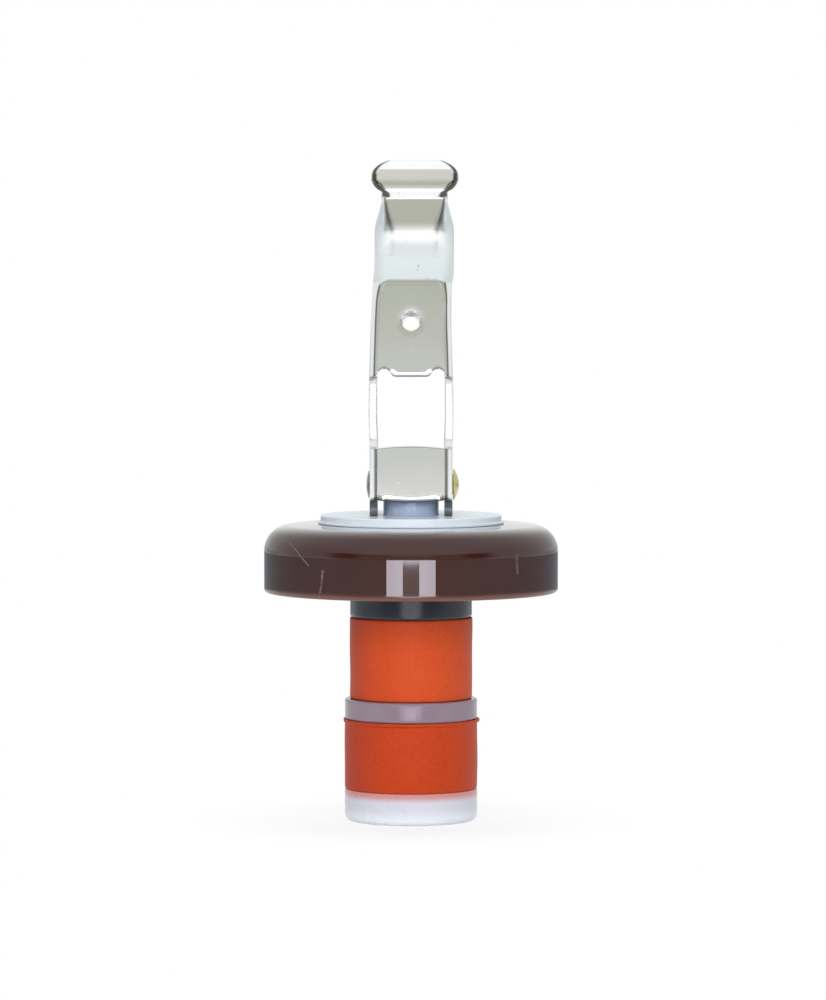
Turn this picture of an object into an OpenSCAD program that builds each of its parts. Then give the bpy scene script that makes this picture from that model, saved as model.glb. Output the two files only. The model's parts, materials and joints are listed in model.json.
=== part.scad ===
// Lever bottle stopper: a stamped lever on a rivet draws a stem up through a disc,
// so that two rubber sleeves are squeezed and swell in the neck of a bottle.
// Millimetres, +Z up, origin on the axis at the underside of the base plug.
// The lever stands up with its web towards -Y, and it closes towards +Y.

/* [Rubber plug] */
// Diameter of the lower sleeve, which seals in the bottle neck
lower_rubber_d = 18.3; // [16:0.1:24]
// Height of the lower sleeve when it is relaxed
lower_rubber_h = 9.6; // [6:0.1:16]
// How far the moulding lip stands out at the top of the lower sleeve
lip_reach = 0.15; // [0.05:0.05:0.15]
// Height of the moulding lip
lip_h = 0.4; // [0.2:0.05:1]
// Diameter of the upper sleeve
upper_rubber_d = 16.8; // [14:0.1:22]
// Height of the upper sleeve when it is relaxed
upper_rubber_h = 11.2; // [6:0.1:18]
// Height of the spacer ring between the sleeves
ring_h = 2.8; // [1.5:0.1:5]
// Height of the base plug
base_h = 4.4; // [4:0.1:8]
// Radius of the base plug's lower edge
base_edge_r = 1.0; // [0.4:0.1:1.8]
// How far the ring and the base plug stand back from the lower sleeve
plug_setback = 0.05; // [0.05:0.05:0.4]
// Chamfer on the edges of the spacer ring
ring_chamfer = 0.25; // [0.1:0.05:0.6]

/* [Collar and disc] */
// Diameter of the collar under the disc
collar_d = 16.7; // [15:0.1:20]
// Height of the collar under the disc
collar_h = 3.4; // [2:0.1:6]
// Wall of the collar's spigot around the stem
spigot_wall = 2.1; // [1.4:0.1:2.8]
// Height of the spigot inside the disc
spigot_h = 6.0; // [3:0.1:7]
// Diameter of the disc
disc_d = 40.3; // [34:0.1:50]
// Height of the disc
disc_h = 9.4; // [8.6:0.1:14]
// Radius of the disc's shoulder
shoulder_r = 3.7; // [3:0.1:6]
// Wall of the disc's skirt
skirt_wall = 1.8; // [1.2:0.1:2.6]
// Wall of the disc's top
top_wall = 2.2; // [1.4:0.1:2.5]
// Wall of the hub around the spigot
hub_wall = 3.4; // [1.2:0.1:4]
// Number of ribs under the disc
rib_count = 12; // [6:1:16]
// Thickness of a rib
rib_t = 1.3; // [0.8:0.1:2]
// How far the ribs stop short of the disc's lower edge
rib_recess = 0.6; // [0.2:0.1:1.5]
// Diameter of the bearing washer
washer_d = 25.5; // [20:0.1:30]
// Thickness of the bearing washer
washer_h = 1.2; // [0.8:0.1:2]
// Width of the step around the washer's top
washer_step = 0.35; // [0.1:0.05:0.8]
// Height of the washer's lower step
washer_step_h = 0.35; // [0.2:0.05:0.6]

/* [Stem and fasteners] */
// Diameter of the draw stem
stem_d = 7.6; // [6.6:0.1:8.6]
// Diameter of the thrust bosses on the stem's head
boss_d = 3.8; // [3.6:0.1:6]
// Height of a thrust boss
boss_h = 0.65; // [0.3:0.05:1.2]
// Depth of the stem's seat in the base plug
socket_h = 2.0; // [1:0.1:2.2]
// Diameter of the rivet's shank
rivet_d = 2.8; // [2:0.1:3.2]
// Diameter of the rivet's set head
rivet_head_d = 4.3; // [3.8:0.1:6]
// Height of the rivet's set head
rivet_head_h = 0.8; // [0.4:0.05:1.4]
// Diameter of the rivet's peened tail
rivet_tail_d = 3.7; // [3.6:0.1:5]
// Height of the rivet's peened tail
rivet_tail_h = 0.35; // [0.2:0.05:0.8]
// Diameter of the end screw's shank
screw_d = 2.6; // [2:0.1:3.4]
// Length of the end screw under its head
screw_l = 9.0; // [6:0.5:14]
// Diameter of the end screw's head
screw_head_d = 5.6; // [4.6:0.1:7]
// Height of the end screw's head
screw_head_h = 1.1; // [0.8:0.05:1.3]
// How deep the screw head sits inside the base plug
screw_sink = 0.3; // [0.1:0.05:0.6]

/* [Lever] */
// Thickness of the sheet
sheet_t = 1.1; // [0.8:0.05:1.3]
// Inner radius of the folds between the web and the flanges
fold_inner_r = 0.1; // [0.1:0.05:0.8]
// Room between the stem and the web
web_gap = 0.6; // [0.4:0.05:1.5]
// Height of the rivet's axis above the washer
pivot_rise = 4.15; // [3.7:0.05:5]
// Stroke of the stem as the lever closes
stroke = 3.5; // [2:0.1:4.5]
// Length of the flat that the closed lever rests on
land_l = 1.8; // [1:0.1:3]
// How far the lower web reaches below the rivet's axis
web_drop = 1.95; // [1:0.05:2.6]
// How far the flanges stand back from the folds, beside the window and under the lower web
fold_setback = 0.1; // [0.05:0.05:0.6]
// Radius of the corners where the folds are cut away
cut_corner_r = 1.2; // [0.3:0.1:1.4]
// Height of the lower web
lower_web_h = 7.1; // [6:0.1:10]
// Height of the window
window_h = 9.7; // [6:0.1:14]
// Width of the relief notches at the window's upper corners
notch_w = 1.8; // [1:0.1:2]
// Height of the relief notches
notch_h = 1.1; // [1:0.05:2]
// Length of the flat web above the window
upper_web_h = 12.6; // [11:0.1:20]
// Height of the hang hole above the window
hole_rise = 7.6; // [4:0.1:9]
// Diameter of the hang hole
hole_d = 2.4; // [1.5:0.1:3.5]
// Width of the pressed-in rim around the hang hole
hole_rim = 0.35; // [0.1:0.05:0.6]
// Spread of each flange beside the window
window_spread = 0.12; // [0:0.02:0.3]
// Narrowing of each side at the top of the flat web
web_taper = 0.25; // [0:0.05:0.5]
// Depth of the flanges at the top of the window
mid_flange = 6.4; // [4:0.1:9]
// Depth of the flanges at the top of the flat web
top_flange = 3.6; // [3.2:0.1:4.5]
// Radius of the backward bend
back_bend_r = 5.0; // [4.6:0.1:8]
// Angle of the backward bend
back_lean = 50; // [30:1:60]
// Length of the sloping stretch
slope_l = 3.9; // [3:0.1:8]
// Radius of the lever's edges along the slope
slope_edge_r = 2.9; // [1.6:0.1:3.2]
// Radius of the hollow between the slope and the neck
hollow_r = 2.2; // [2:0.1:5]
// Length of the upright neck
neck_l = 3.25; // [2:0.05:6]
// Radius of the crease between the neck and the thumb pad
crease_r = 0.6; // [0.4:0.1:2]
// Angle at which the crease meets the thumb pad
nose_lean = 55; // [40:1:75]
// Inner radius of the thumb pad's nose and of its rolled top
pad_inner_r = 0.3; // [0.2:0.05:1]
// Angle by which the foot of the thumb pad's front leans forward
pad_overhang = 2.5; // [0:0.5:10]
// Radius of the thumb pad's front
pad_front_r = 12.3; // [8:0.1:20]
// Angle over which the thumb pad's front curves back
pad_front_turn = 15; // [5:1:25]
// Angle of the thumb pad's rolled top
pad_curl = 130; // [90:1:140]
// Width of the neck
neck_w = 9.2; // [7:0.1:11]
// Width of the thumb pad
pad_w = 11.9; // [10:0.1:16]
// Width of the thumb pad's rolled tip
tip_w = 6.8; // [5:0.1:9]

/* [Clearances] */
// Radial running clearance of the stem and the rivet
running_gap = 0.08; // [0.03:0.01:0.1]
// Radial clearance of pieces that are pressed or screwed together
seat_gap = 0.03; // [0.01:0.01:0.05]
// Radial room inside the rubber sleeves and the spacer ring
sleeve_gap = 0.2; // [0.1:0.05:0.4]
// Gap between the cam feet and the washer
cam_gap = 0.1; // [0.05:0.05:0.2]
// Gap between moving side faces at the rivet
side_gap = 0.1; // [0.05:0.05:0.2]

/* [Hidden] */
$fn = 64;
past = 1;

// Levels along the axis, from the base plug up to the rivet
lower_rubber_z = base_h;
ring_z = lower_rubber_z + lower_rubber_h;
upper_rubber_z = ring_z + ring_h;
collar_z = upper_rubber_z + upper_rubber_h;
disc_z = collar_z + collar_h;
washer_z = disc_z + disc_h;
washer_top_z = washer_z + washer_h;
pivot_z = washer_top_z + pivot_rise;
socket_z = base_h - socket_h;

// Radii that follow from the stem and its clearances
stem_r = stem_d / 2;
stem_bore_r = stem_r + running_gap;
sleeve_bore_r = stem_r + sleeve_gap;
spigot_r = stem_bore_r + spigot_wall;
hub_r = spigot_r + seat_gap + hub_wall;
plug_r = lower_rubber_d / 2 - plug_setback;

// Lever sizes that follow from the stem, the rivet and the sheet
ear_half_gap = stem_r + boss_h + side_gap;
ear_half_w = ear_half_gap + sheet_t;
web_front = stem_r + web_gap + sheet_t;
fold_r = sheet_t + fold_inner_r;
pad_r = sheet_t + pad_inner_r;
pad_edge_r = sheet_t + pad_inner_r / 4;
pad_edge_h = sheet_t + pad_inner_r / 2;

// Cam: the foot's distance from the rivet grows evenly with the lever's angle
cam_low = pivot_rise - cam_gap;
cam_rate = stroke / (PI / 2);
cam_high = cam_low + stroke;
cam_steps = 8;
function cam_reach(a) = cam_low + cam_rate * a * PI / 180;
function cam_back(a) = cam_reach(a) * sin(a) + cam_rate * cos(a);
function cam_up(a) = cam_rate * sin(a) - cam_reach(a) * cos(a);

// Lever levels, measured from the rivet's axis
web_bottom = -web_drop;
window_bottom = web_bottom + lower_web_h;
window_top = window_bottom + window_h;
bend_start = window_top + upper_web_h;

// Side line of the lever's front face: each run has a length and a turn in degrees
function arc_l(r, a) = r * a * PI / 180;
runs = [
    [cam_low + bend_start, 0],
    [arc_l(back_bend_r, back_lean), back_lean],
    [slope_l, 0],
    [arc_l(hollow_r, back_lean), -back_lean],
    [neck_l, 0],
    [arc_l(crease_r, nose_lean), -nose_lean],
    [arc_l(pad_r, nose_lean - pad_overhang), nose_lean - pad_overhang],
    [arc_l(pad_front_r, pad_front_turn), pad_front_turn],
    [arc_l(pad_r, pad_curl), pad_curl]
];
function run_end(i) = i < 0 ? 0 : run_end(i - 1) + runs[i][0];
function step_along(at, l, turn) =
    turn == 0
    ? [at[0] + l * sin(at[2]), at[1] + l * cos(at[2]), at[2]]
    : let (r = l / (turn * PI / 180), lean = at[2] + turn)
      [at[0] + r * (cos(at[2]) - cos(lean)), at[1] + r * (sin(lean) - sin(at[2])), lean];
function side_line(s, i = 0, at = [-web_front, -cam_low, 0]) =
    s <= runs[i][0] || i == len(runs) - 1
    ? step_along(at, s, runs[i][1] * s / runs[i][0])
    : side_line(s - runs[i][0], i + 1, step_along(at, runs[i][0], runs[i][1]));

// Smooth value at s between keys of place and value
function eased(t) = t * t * (3 - 2 * t);
function keyed(s, keys, i = 0) =
    s <= keys[0][0] ? keys[0][1]
    : i >= len(keys) - 1 ? keys[i][1]
    : s <= keys[i + 1][0]
    ? keys[i][1] + (keys[i + 1][1] - keys[i][1]) * eased((s - keys[i][0]) / (keys[i + 1][0] - keys[i][0]))
    : keyed(s, keys, i + 1);

// Places along the side line
cam_end_s = cam_low + cam_rate;
land_s = cam_end_s + land_l;
bend_s = run_end(0);
slope_s = run_end(1);
hollow_s = run_end(2);
neck_s = run_end(3);
crease_s = run_end(4);
nose_s = run_end(5);
front_s = run_end(6);
top_s = run_end(7);
tip_s = run_end(8);

half_width_keys = [
    [cam_low + window_bottom, ear_half_w],
    [cam_low + window_bottom + window_h / 2, ear_half_w + window_spread],
    [bend_s, ear_half_w - web_taper],
    [neck_s, ear_half_w - web_taper],
    [crease_s, neck_w / 2],
    [tip_s, tip_w / 2]
];
corner_keys = [
    [bend_s - fold_r, fold_r],
    [slope_s, slope_edge_r],
    [neck_s, slope_edge_r],
    [crease_s, pad_edge_r]
];
depth_keys = [
    [land_s, web_front + cam_high],
    [cam_low + window_top, mid_flange],
    [bend_s, top_flange],
    [hollow_s, slope_edge_r + sheet_t / 3],
    [neck_s, slope_edge_r + sheet_t / 3],
    [crease_s, pad_edge_h]
];

// Half the lever's width: the thumb pad's outline is an oval from the nose to the rolled top,
// and it runs into the neck by a smooth maximum
pad_low = side_line(nose_s)[1];
pad_high = side_line(top_s)[1] + pad_r * (1 - sin(side_line(top_s)[2]));
function pad_oval(s) =
    let (h = abs(2 * side_line(s)[1] - pad_low - pad_high) / (pad_high - pad_low))
    s <= crease_s || h >= 1 ? 0 : pad_w / 2 * pow(1 - pow(h, 2.5), 0.4);
function half_width(s) = pow(pow(keyed(s, half_width_keys), 8) + pow(pad_oval(s), 8), 1 / 8);

// Stations of the lever's section, each with its place and the depth of the flanges
function spread(a, b, n) = [for (i = [1:n]) a + (b - a) * i / n];
cam_stations = [for (i = [0:cam_steps])
    let (a = 90 * i / cam_steps) [cam_low + cam_up(a), web_front + cam_back(a)]];
upper_places = concat(
    [land_s],
    spread(land_s, cam_low + window_top, 6),
    spread(cam_low + window_top, bend_s - fold_r, 2),
    spread(bend_s - fold_r, bend_s, 2),
    spread(bend_s, slope_s, 6),
    spread(slope_s, hollow_s, 2),
    spread(hollow_s, neck_s, 5),
    spread(neck_s, crease_s, 4),
    spread(crease_s, nose_s, 5),
    spread(nose_s, front_s, 6),
    spread(front_s, top_s, 8),
    spread(top_s, tip_s, 12)
);
stations = concat(cam_stations, [for (s = upper_places) [s, keyed(s, depth_keys)]]);

// One section: the outer line from flange tip to flange tip, set in by the sheet for the inner line
fold_steps = 6;
function section(station, inset) =
    let (
        at = side_line(station[0]),
        w = half_width(station[0]),
        corner = keyed(station[0], corner_keys),
        r = corner - inset,
        half = concat(
            [[w - inset, station[1]]],
            [for (i = [0:fold_steps])
                let (a = 90 * i / fold_steps) [w - corner + r * cos(a), corner - r * sin(a)]]
        ),
        line = concat(
            [for (p = half) [-p[0], p[1]]],
            [for (i = [len(half) - 1:-1:0]) half[i]]
        )
    )
    [for (p = line) [p[0], at[0] + p[1] * cos(at[2]), pivot_z + at[1] - p[1] * sin(at[2])]];

// Half outline of a round piece with its upper edge rounded
module rounded_profile(r, h, edge_r) {
    square([r - edge_r, h]);
    square([r, h - edge_r]);
    translate([r - edge_r, h - edge_r]) circle(edge_r);
}

module sleeve(z, r, h) {
    translate([0, 0, z]) difference() {
        cylinder(r = r, h = h);
        translate([0, 0, -past]) cylinder(r = sleeve_bore_r, h = h + 2 * past);
    }
}

// A cylinder along X, centred on the rivet's axis
module across(r, l) {
    translate([-l / 2, 0, pivot_z]) rotate([0, 90, 0]) cylinder(r = r, h = l);
}

// Hollow under the disc, between the hub and the skirt, with the ribs left standing
module disc_hollow() {
    inside_r = disc_d / 2 - skirt_wall;
    inside_h = disc_h - top_wall;
    difference() {
        rotate_extrude() intersection() {
            translate([0, -past]) rounded_profile(inside_r, inside_h + past, shoulder_r - skirt_wall);
            translate([hub_r, -past]) square([disc_d, disc_h]);
        }
        for (i = [0:rib_count - 1])
            rotate(i * 360 / rib_count)
                translate([0, -rib_t / 2, rib_recess]) cube([disc_d, rib_t, disc_h]);
    }
}

module cap_disc() {
    color([0.33, 0.22, 0.21]) translate([0, 0, disc_z]) difference() {
        rotate_extrude() rounded_profile(disc_d / 2, disc_h, shoulder_r);
        disc_hollow();
        translate([0, 0, -past]) cylinder(r = spigot_r + seat_gap, h = spigot_h + past);
        cylinder(r = stem_bore_r, h = disc_h + past);
    }
}

module neck_collar() {
    color([0.2, 0.24, 0.27]) translate([0, 0, collar_z]) difference() {
        union() {
            cylinder(d = collar_d, h = collar_h);
            cylinder(r = spigot_r, h = collar_h + spigot_h);
        }
        translate([0, 0, -past]) cylinder(r = stem_bore_r, h = collar_h + spigot_h + 2 * past);
    }
}

module upper_rubber() {
    color([0.85, 0.33, 0.18]) sleeve(upper_rubber_z, upper_rubber_d / 2, upper_rubber_h);
}

module lower_rubber() {
    color([0.8, 0.3, 0.16]) {
        sleeve(lower_rubber_z, lower_rubber_d / 2, lower_rubber_h);
        sleeve(ring_z - lip_h, lower_rubber_d / 2 + lip_reach, lip_h);
    }
}

module spacer_ring() {
    color([0.62, 0.55, 0.62]) translate([0, 0, ring_z]) difference() {
        union() {
            cylinder(r1 = plug_r - ring_chamfer, r2 = plug_r, h = ring_chamfer);
            translate([0, 0, ring_chamfer]) cylinder(r = plug_r, h = ring_h - 2 * ring_chamfer);
            translate([0, 0, ring_h - ring_chamfer])
                cylinder(r1 = plug_r, r2 = plug_r - ring_chamfer, h = ring_chamfer);
        }
        translate([0, 0, -past]) cylinder(r = sleeve_bore_r, h = ring_h + 2 * past);
    }
}

module base_plug() {
    color([0.9, 0.91, 0.94]) difference() {
        translate([0, 0, base_h]) mirror([0, 0, 1])
            rotate_extrude() rounded_profile(plug_r, base_h, base_edge_r);
        translate([0, 0, socket_z]) cylinder(r = stem_r + seat_gap, h = base_h);
        translate([0, 0, -past]) cylinder(r = screw_d / 2 + seat_gap, h = base_h + past);
        translate([0, 0, -past]) cylinder(
            r = screw_head_d / 2 + screw_sink, h = past + screw_sink + screw_head_h);
    }
}

module end_screw() {
    slot_w = screw_head_h / 2;
    head_z = screw_sink;
    color([0.7, 0.7, 0.72]) difference() {
        union() {
            translate([0, 0, head_z]) cylinder(d = screw_head_d, h = screw_head_h);
            translate([0, 0, head_z]) cylinder(d = screw_d, h = screw_head_h + screw_l);
        }
        for (turn = [0, 90])
            rotate(turn) translate([-screw_head_d / 4, -slot_w / 2, -past])
                cube([screw_head_d / 2, slot_w, head_z + screw_head_h / 2 + past]);
    }
}

module stem() {
    color([0.6, 0.65, 0.75]) difference() {
        union() {
            translate([0, 0, socket_z]) cylinder(r = stem_r, h = pivot_z - socket_z);
            intersection() {
                translate([0, 0, pivot_z - stem_r]) cylinder(r = stem_r, h = 2 * stem_r);
                across(stem_r, stem_d);
            }
            across(boss_d / 2, 2 * (stem_r + boss_h));
        }
        across(rivet_d / 2 + seat_gap, 4 * stem_d);
        translate([0, 0, socket_z - past])
            cylinder(r = screw_d / 2 + seat_gap, h = past + screw_l);
    }
}

module bearing_washer() {
    color([0.76, 0.82, 0.88]) translate([0, 0, washer_z]) difference() {
        union() {
            cylinder(d = washer_d, h = washer_step_h);
            cylinder(r = washer_d / 2 - washer_step, h = washer_h);
        }
        translate([0, 0, -past]) cylinder(r = stem_bore_r, h = washer_h + 2 * past);
    }
}

// Low round head of a rivet on the XY plane
module rivet_dome(d, h) {
    ball_r = (d * d / 4 + h * h) / (2 * h);
    intersection() {
        cylinder(d = d, h = h);
        translate([0, 0, h - ball_r]) sphere(ball_r);
    }
}

module pivot_rivet() {
    seat = ear_half_w + side_gap;
    color([0.72, 0.65, 0.32]) {
        across(rivet_d / 2, 2 * seat);
        translate([seat, 0, pivot_z]) rotate([0, 90, 0]) rivet_dome(rivet_head_d, rivet_head_h);
        translate([-seat, 0, pivot_z]) rotate([0, -90, 0]) rivet_dome(rivet_tail_d, rivet_tail_h);
    }
}

// Sheet folded into a channel along the side line, from the cam feet to the thumb pad's rolled tip
module lever_sheet() {
    outer = [for (st = stations) section(st, 0)];
    inner = [for (st = stations) section(st, sheet_t)];
    m = len(stations);
    k = len(outer[0]);
    points = concat([for (row = outer) each row], [for (row = inner) each row]);
    function o(i, j) = i * k + j;
    function n(i, j) = m * k + i * k + j;
    faces = concat(
        [for (i = [0:m - 2], j = [0:k - 2]) each [
            [o(i, j), o(i + 1, j), o(i + 1, j + 1)], [o(i, j), o(i + 1, j + 1), o(i, j + 1)],
            [n(i, j), n(i, j + 1), n(i + 1, j + 1)], [n(i, j), n(i + 1, j + 1), n(i + 1, j)]]],
        [for (i = [0:m - 2]) each [
            [o(i, 0), n(i, 0), n(i + 1, 0)], [o(i, 0), n(i + 1, 0), o(i + 1, 0)],
            [o(i, k - 1), o(i + 1, k - 1), n(i + 1, k - 1)], [o(i, k - 1), n(i + 1, k - 1), n(i, k - 1)]]],
        [for (j = [0:k - 2]) each [
            [o(0, j), o(0, j + 1), n(0, j + 1)], [o(0, j), n(0, j + 1), n(0, j)],
            [o(m - 1, j), n(m - 1, j + 1), o(m - 1, j + 1)], [o(m - 1, j), n(m - 1, j), n(m - 1, j + 1)]]]
    );
    polyhedron(points = points, faces = faces);
}

// Cutter through the web: a block of the given half width between two levels over the rivet
module web_cut(half_w, low, high) {
    front = -web_front - past;
    translate([-half_w, front, pivot_z + low]) cube([2 * half_w, fold_r + past, high - low]);
}

// Cutter across the whole lever between two levels: the folds go, with round corners behind
module fold_cut(low, high) {
    depth = past + fold_r + fold_setback;
    h = high - low;
    translate([-2 * ear_half_w, -web_front - past, pivot_z + low]) rotate([90, 0, 90])
        linear_extrude(4 * ear_half_w) {
            square([depth - cut_corner_r, h]);
            translate([0, cut_corner_r]) square([depth, h - 2 * cut_corner_r]);
            for (level = [cut_corner_r, h - cut_corner_r])
                translate([depth - cut_corner_r, level]) circle(cut_corner_r);
        }
}

// Cutter along Y through the web
module web_drill(x, level, r) {
    translate([x, -web_front - past, pivot_z + level]) rotate([-90, 0, 0])
        cylinder(r = r, h = fold_r + past);
}

module lever() {
    notch_x = ear_half_gap - notch_w / 2;
    color([0.78, 0.78, 0.74]) difference() {
        lever_sheet();
        fold_cut(-cam_low - cut_corner_r - past, web_bottom);
        fold_cut(window_bottom, window_top);
        for (side = [-1, 1]) {
            web_drill(side * notch_x, window_top + notch_h - notch_w / 2, notch_w / 2);
            translate([side * notch_x, 0, 0])
                web_cut(notch_w / 2, window_top - past, window_top + notch_h - notch_w / 2);
        }
        web_drill(0, window_top + hole_rise, hole_d / 2);
        translate([0, -web_front, pivot_z + window_top + hole_rise]) rotate([-90, 0, 0])
            cylinder(r1 = hole_d / 2 + hole_rim, r2 = hole_d / 2, h = hole_rim);
        across(rivet_d / 2 + running_gap, 4 * ear_half_w);
    }
}

cap_disc();
neck_collar();
upper_rubber();
spacer_ring();
lower_rubber();
base_plug();
end_screw();
stem();
bearing_washer();
pivot_rivet();
lever();
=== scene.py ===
"""Looks of the lever bottle stopper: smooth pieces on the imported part, their materials, lights and camera.

Sizes of the pieces are millimetres, which make_piece() turns into metres. The studio is in metres.
"""
import json
import math

import bpy
import numpy as np
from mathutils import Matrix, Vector


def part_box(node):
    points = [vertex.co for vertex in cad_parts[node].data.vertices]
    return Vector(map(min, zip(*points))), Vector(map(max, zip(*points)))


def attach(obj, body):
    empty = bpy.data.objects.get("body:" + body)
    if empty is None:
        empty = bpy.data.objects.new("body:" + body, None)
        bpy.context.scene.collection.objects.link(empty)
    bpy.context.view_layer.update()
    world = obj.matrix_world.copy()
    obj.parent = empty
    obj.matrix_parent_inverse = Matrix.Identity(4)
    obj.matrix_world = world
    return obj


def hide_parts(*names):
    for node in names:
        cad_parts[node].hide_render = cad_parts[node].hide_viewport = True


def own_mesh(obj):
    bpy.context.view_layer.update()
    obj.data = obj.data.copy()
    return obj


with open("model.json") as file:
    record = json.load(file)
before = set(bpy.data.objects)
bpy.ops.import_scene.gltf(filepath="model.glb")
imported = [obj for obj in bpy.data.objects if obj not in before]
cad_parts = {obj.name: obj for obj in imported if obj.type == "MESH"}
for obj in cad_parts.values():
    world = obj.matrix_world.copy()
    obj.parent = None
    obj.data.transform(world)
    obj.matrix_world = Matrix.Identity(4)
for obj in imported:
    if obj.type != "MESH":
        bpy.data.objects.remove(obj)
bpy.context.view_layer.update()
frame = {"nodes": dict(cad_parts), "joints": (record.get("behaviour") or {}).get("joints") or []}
MM = 0.001


def cad_box(node):
    """Lowest and highest corner of a CAD node, in millimetres."""
    low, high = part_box(node)
    return np.array(low) / MM, np.array(high) / MM


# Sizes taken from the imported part
DISC_LOW, DISC_HIGH = cad_box("cap_disc")
COLLAR_LOW, COLLAR_HIGH = cad_box("neck_collar")
UPPER_LOW, UPPER_HIGH = cad_box("upper_rubber")
RING_LOW, RING_HIGH = cad_box("spacer_ring")
LOWER_LOW, LOWER_HIGH = cad_box("lower_rubber")
BASE_LOW, BASE_HIGH = cad_box("base_plug")
STEM_LOW, STEM_HIGH = cad_box("stem")
WASHER_LOW, WASHER_HIGH = cad_box("bearing_washer")
RIVET_LOW, RIVET_HIGH = cad_box("pivot_rivet")
LEVER_LOW, _ = cad_box("lever")
PIVOT_Z = next(j["pos_m"][2] for j in frame["joints"] if j["name"] == "lever_hinge") / MM

# Gaps, walls and holes of the round pieces. An open outline stops at AXIS_R from the axis.
RUNNING_GAP, SLEEVE_GAP, SEAT_GAP = 0.08, 0.2, 0.03
SPIGOT_WALL, HUB_WALL, SKIRT_WALL, ROOF_WALL = 2.1, 3.4, 1.8, 2.2
STEM_R = STEM_HIGH[1]
STEM_BORE_R = STEM_R + RUNNING_GAP
SLEEVE_BORE_R = STEM_R + SLEEVE_GAP
SPIGOT_R = STEM_BORE_R + SPIGOT_WALL
HUB_R = SPIGOT_R + SEAT_GAP + HUB_WALL
SCREW_HOLE_R = 1.33
AXIS_R = 0.03

# The lever's sheet and its front: heights are over the rivet's axis
SHEET_T, FOLD_R, EDGE_R = 1.1, 1.2, 0.08
EAR_GAP = 0.1
EAR_HALF_W = STEM_HIGH[0] + EAR_GAP + SHEET_T
WEB_FRONT = -LEVER_LOW[1]
CAM_LOW, STROKE = PIVOT_Z - LEVER_LOW[2], 3.5
CAM_RATE = STROKE / (math.pi / 2)
WEB_BOTTOM, WINDOW_BOTTOM, WINDOW_TOP = -1.95, 5.15, 14.85
WINDOW_MIDDLE = (WINDOW_BOTTOM + WINDOW_TOP) / 2
BEND_START = WINDOW_TOP + 12.6

# The lever's cuts: how they reach round the folds, bow, blend and roll in
SETBACK, CUT_CORNER_R = FOLD_R + 0.1, 1.2
NOTCH_W, NOTCH_H = 1.8, 1.1
NOTCH_X = EAR_HALF_W - SHEET_T - NOTCH_W / 2
HOLE_LEVEL, HOLE_R, HOLE_RIM = WINDOW_TOP + 7.6, 1.25, 0.42
RIVET_HOLE_R = 1.48
BOW, BLEND, ROLL_R = 0.3, 0.8, 0.6

# Heights between which the lever's plate is satin, from the slope to the neck
SATIN_LOW, SATIN_HIGH = BEND_START + 3.1, BEND_START + 7.55

# Scratches on the disc's front: start and end (x, z), width and strength
SCRATCHES = [((-16.4, 38.9), (-13.6, 35.7), 0.1, 1.0),
             ((-11.8, 35.6), (-12.3, 31.6), 0.16, 1.0),
             ((14.2, 37.6), (14.3, 34.6), 0.22, 0.4)]


# Meshes

def grid_faces(n, m, wrap_n, wrap_m):
    """Quads (i, j), (i+1, j), (i+1, j+1), (i, j+1) of an n by m grid, whose vertex (i, j) has the number
    i * m + j."""
    i = np.arange(n if wrap_n else n - 1)[:, None]
    j = np.arange(m if wrap_m else m - 1)[None, :]
    i2, j2 = (i + 1) % n, (j + 1) % m
    return np.stack([i * m + j, i2 * m + j, i2 * m + j2, i * m + j2], -1).reshape(-1, 4)


def rounded(corners, step=0.6):
    """Closed outline (r, z) in which each corner (r, z, radius) is an arc that touches both of its sides.
    With unit vectors a and b to the neighbours and half the angle h between them, the arc's ends lie
    radius / tan(h) from the corner, its centre lies radius / sin(h) from it, and its points are
    centre + (sin((1 - t) q) v1 + sin(t q) v2) / sin(q), q = pi - 2 h. A straight run of n steps has points
    at the shares (1 - cos(pi k / n)) / 2, closer together at its ends."""
    least_radius = 0.03
    c = np.array([p[:2] for p in corners], float)
    arcs = []
    for k, (_, _, radius) in enumerate(corners):
        a = c[k - 1] - c[k]
        b = c[(k + 1) % len(c)] - c[k]
        a, b = a / np.linalg.norm(a), b / np.linalg.norm(b)
        h = math.acos(np.clip(a @ b, -1, 1)) / 2
        radius = max(radius, least_radius)
        centre = c[k] + (a + b) / np.linalg.norm(a + b) * radius / math.sin(h)
        v1 = c[k] + a * radius / math.tan(h) - centre
        v2 = c[k] + b * radius / math.tan(h) - centre
        q = math.pi - 2 * h
        t = np.linspace(0, 1, 5 + round(5.4 * radius))[:, None]
        arcs.append(centre + (np.sin((1 - t) * q) * v1 + np.sin(t * q) * v2) / math.sin(q))
    line = []
    for k, points in enumerate(arcs):
        start, end = points[-1], arcs[(k + 1) % len(arcs)][0]
        n = max(1, math.ceil(np.linalg.norm(end - start) / step))
        share = 0.5 - 0.5 * np.cos(np.linspace(0, np.pi, n + 1)[1:-1, None])
        line += [points, start + (end - start) * share]
    return np.concatenate(line)


def lathe(outline, n=192, closed=True):
    """Points (r cos a, r sin a, z) of an outline (r, z) turned about Z, a = 2 pi i / n, with its quads.
    An open outline starts and ends close to the axis, and its two ends get a small cap."""
    a = 2 * np.pi * np.arange(n)[:, None] / n
    r, z = outline[:, 0][None, :], outline[:, 1][None, :]
    points = np.stack([r * np.cos(a), r * np.sin(a), z + 0 * a], -1).reshape(-1, 3)
    m = len(outline)
    faces = grid_faces(n, m, True, closed).tolist()
    if not closed:
        ring = np.arange(n) * m
        faces += [ring[::-1].tolist(), (ring + m - 1).tolist()]
    return points, faces


def joined(*shells):
    """Several shells (points, faces) as one."""
    starts = np.cumsum([0] + [len(p) for p, _ in shells[:-1]])
    points = np.concatenate([p for p, _ in shells])
    return points, [[v + int(s) for v in f] for s, (_, fs) in zip(starts, shells) for f in fs]


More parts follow.
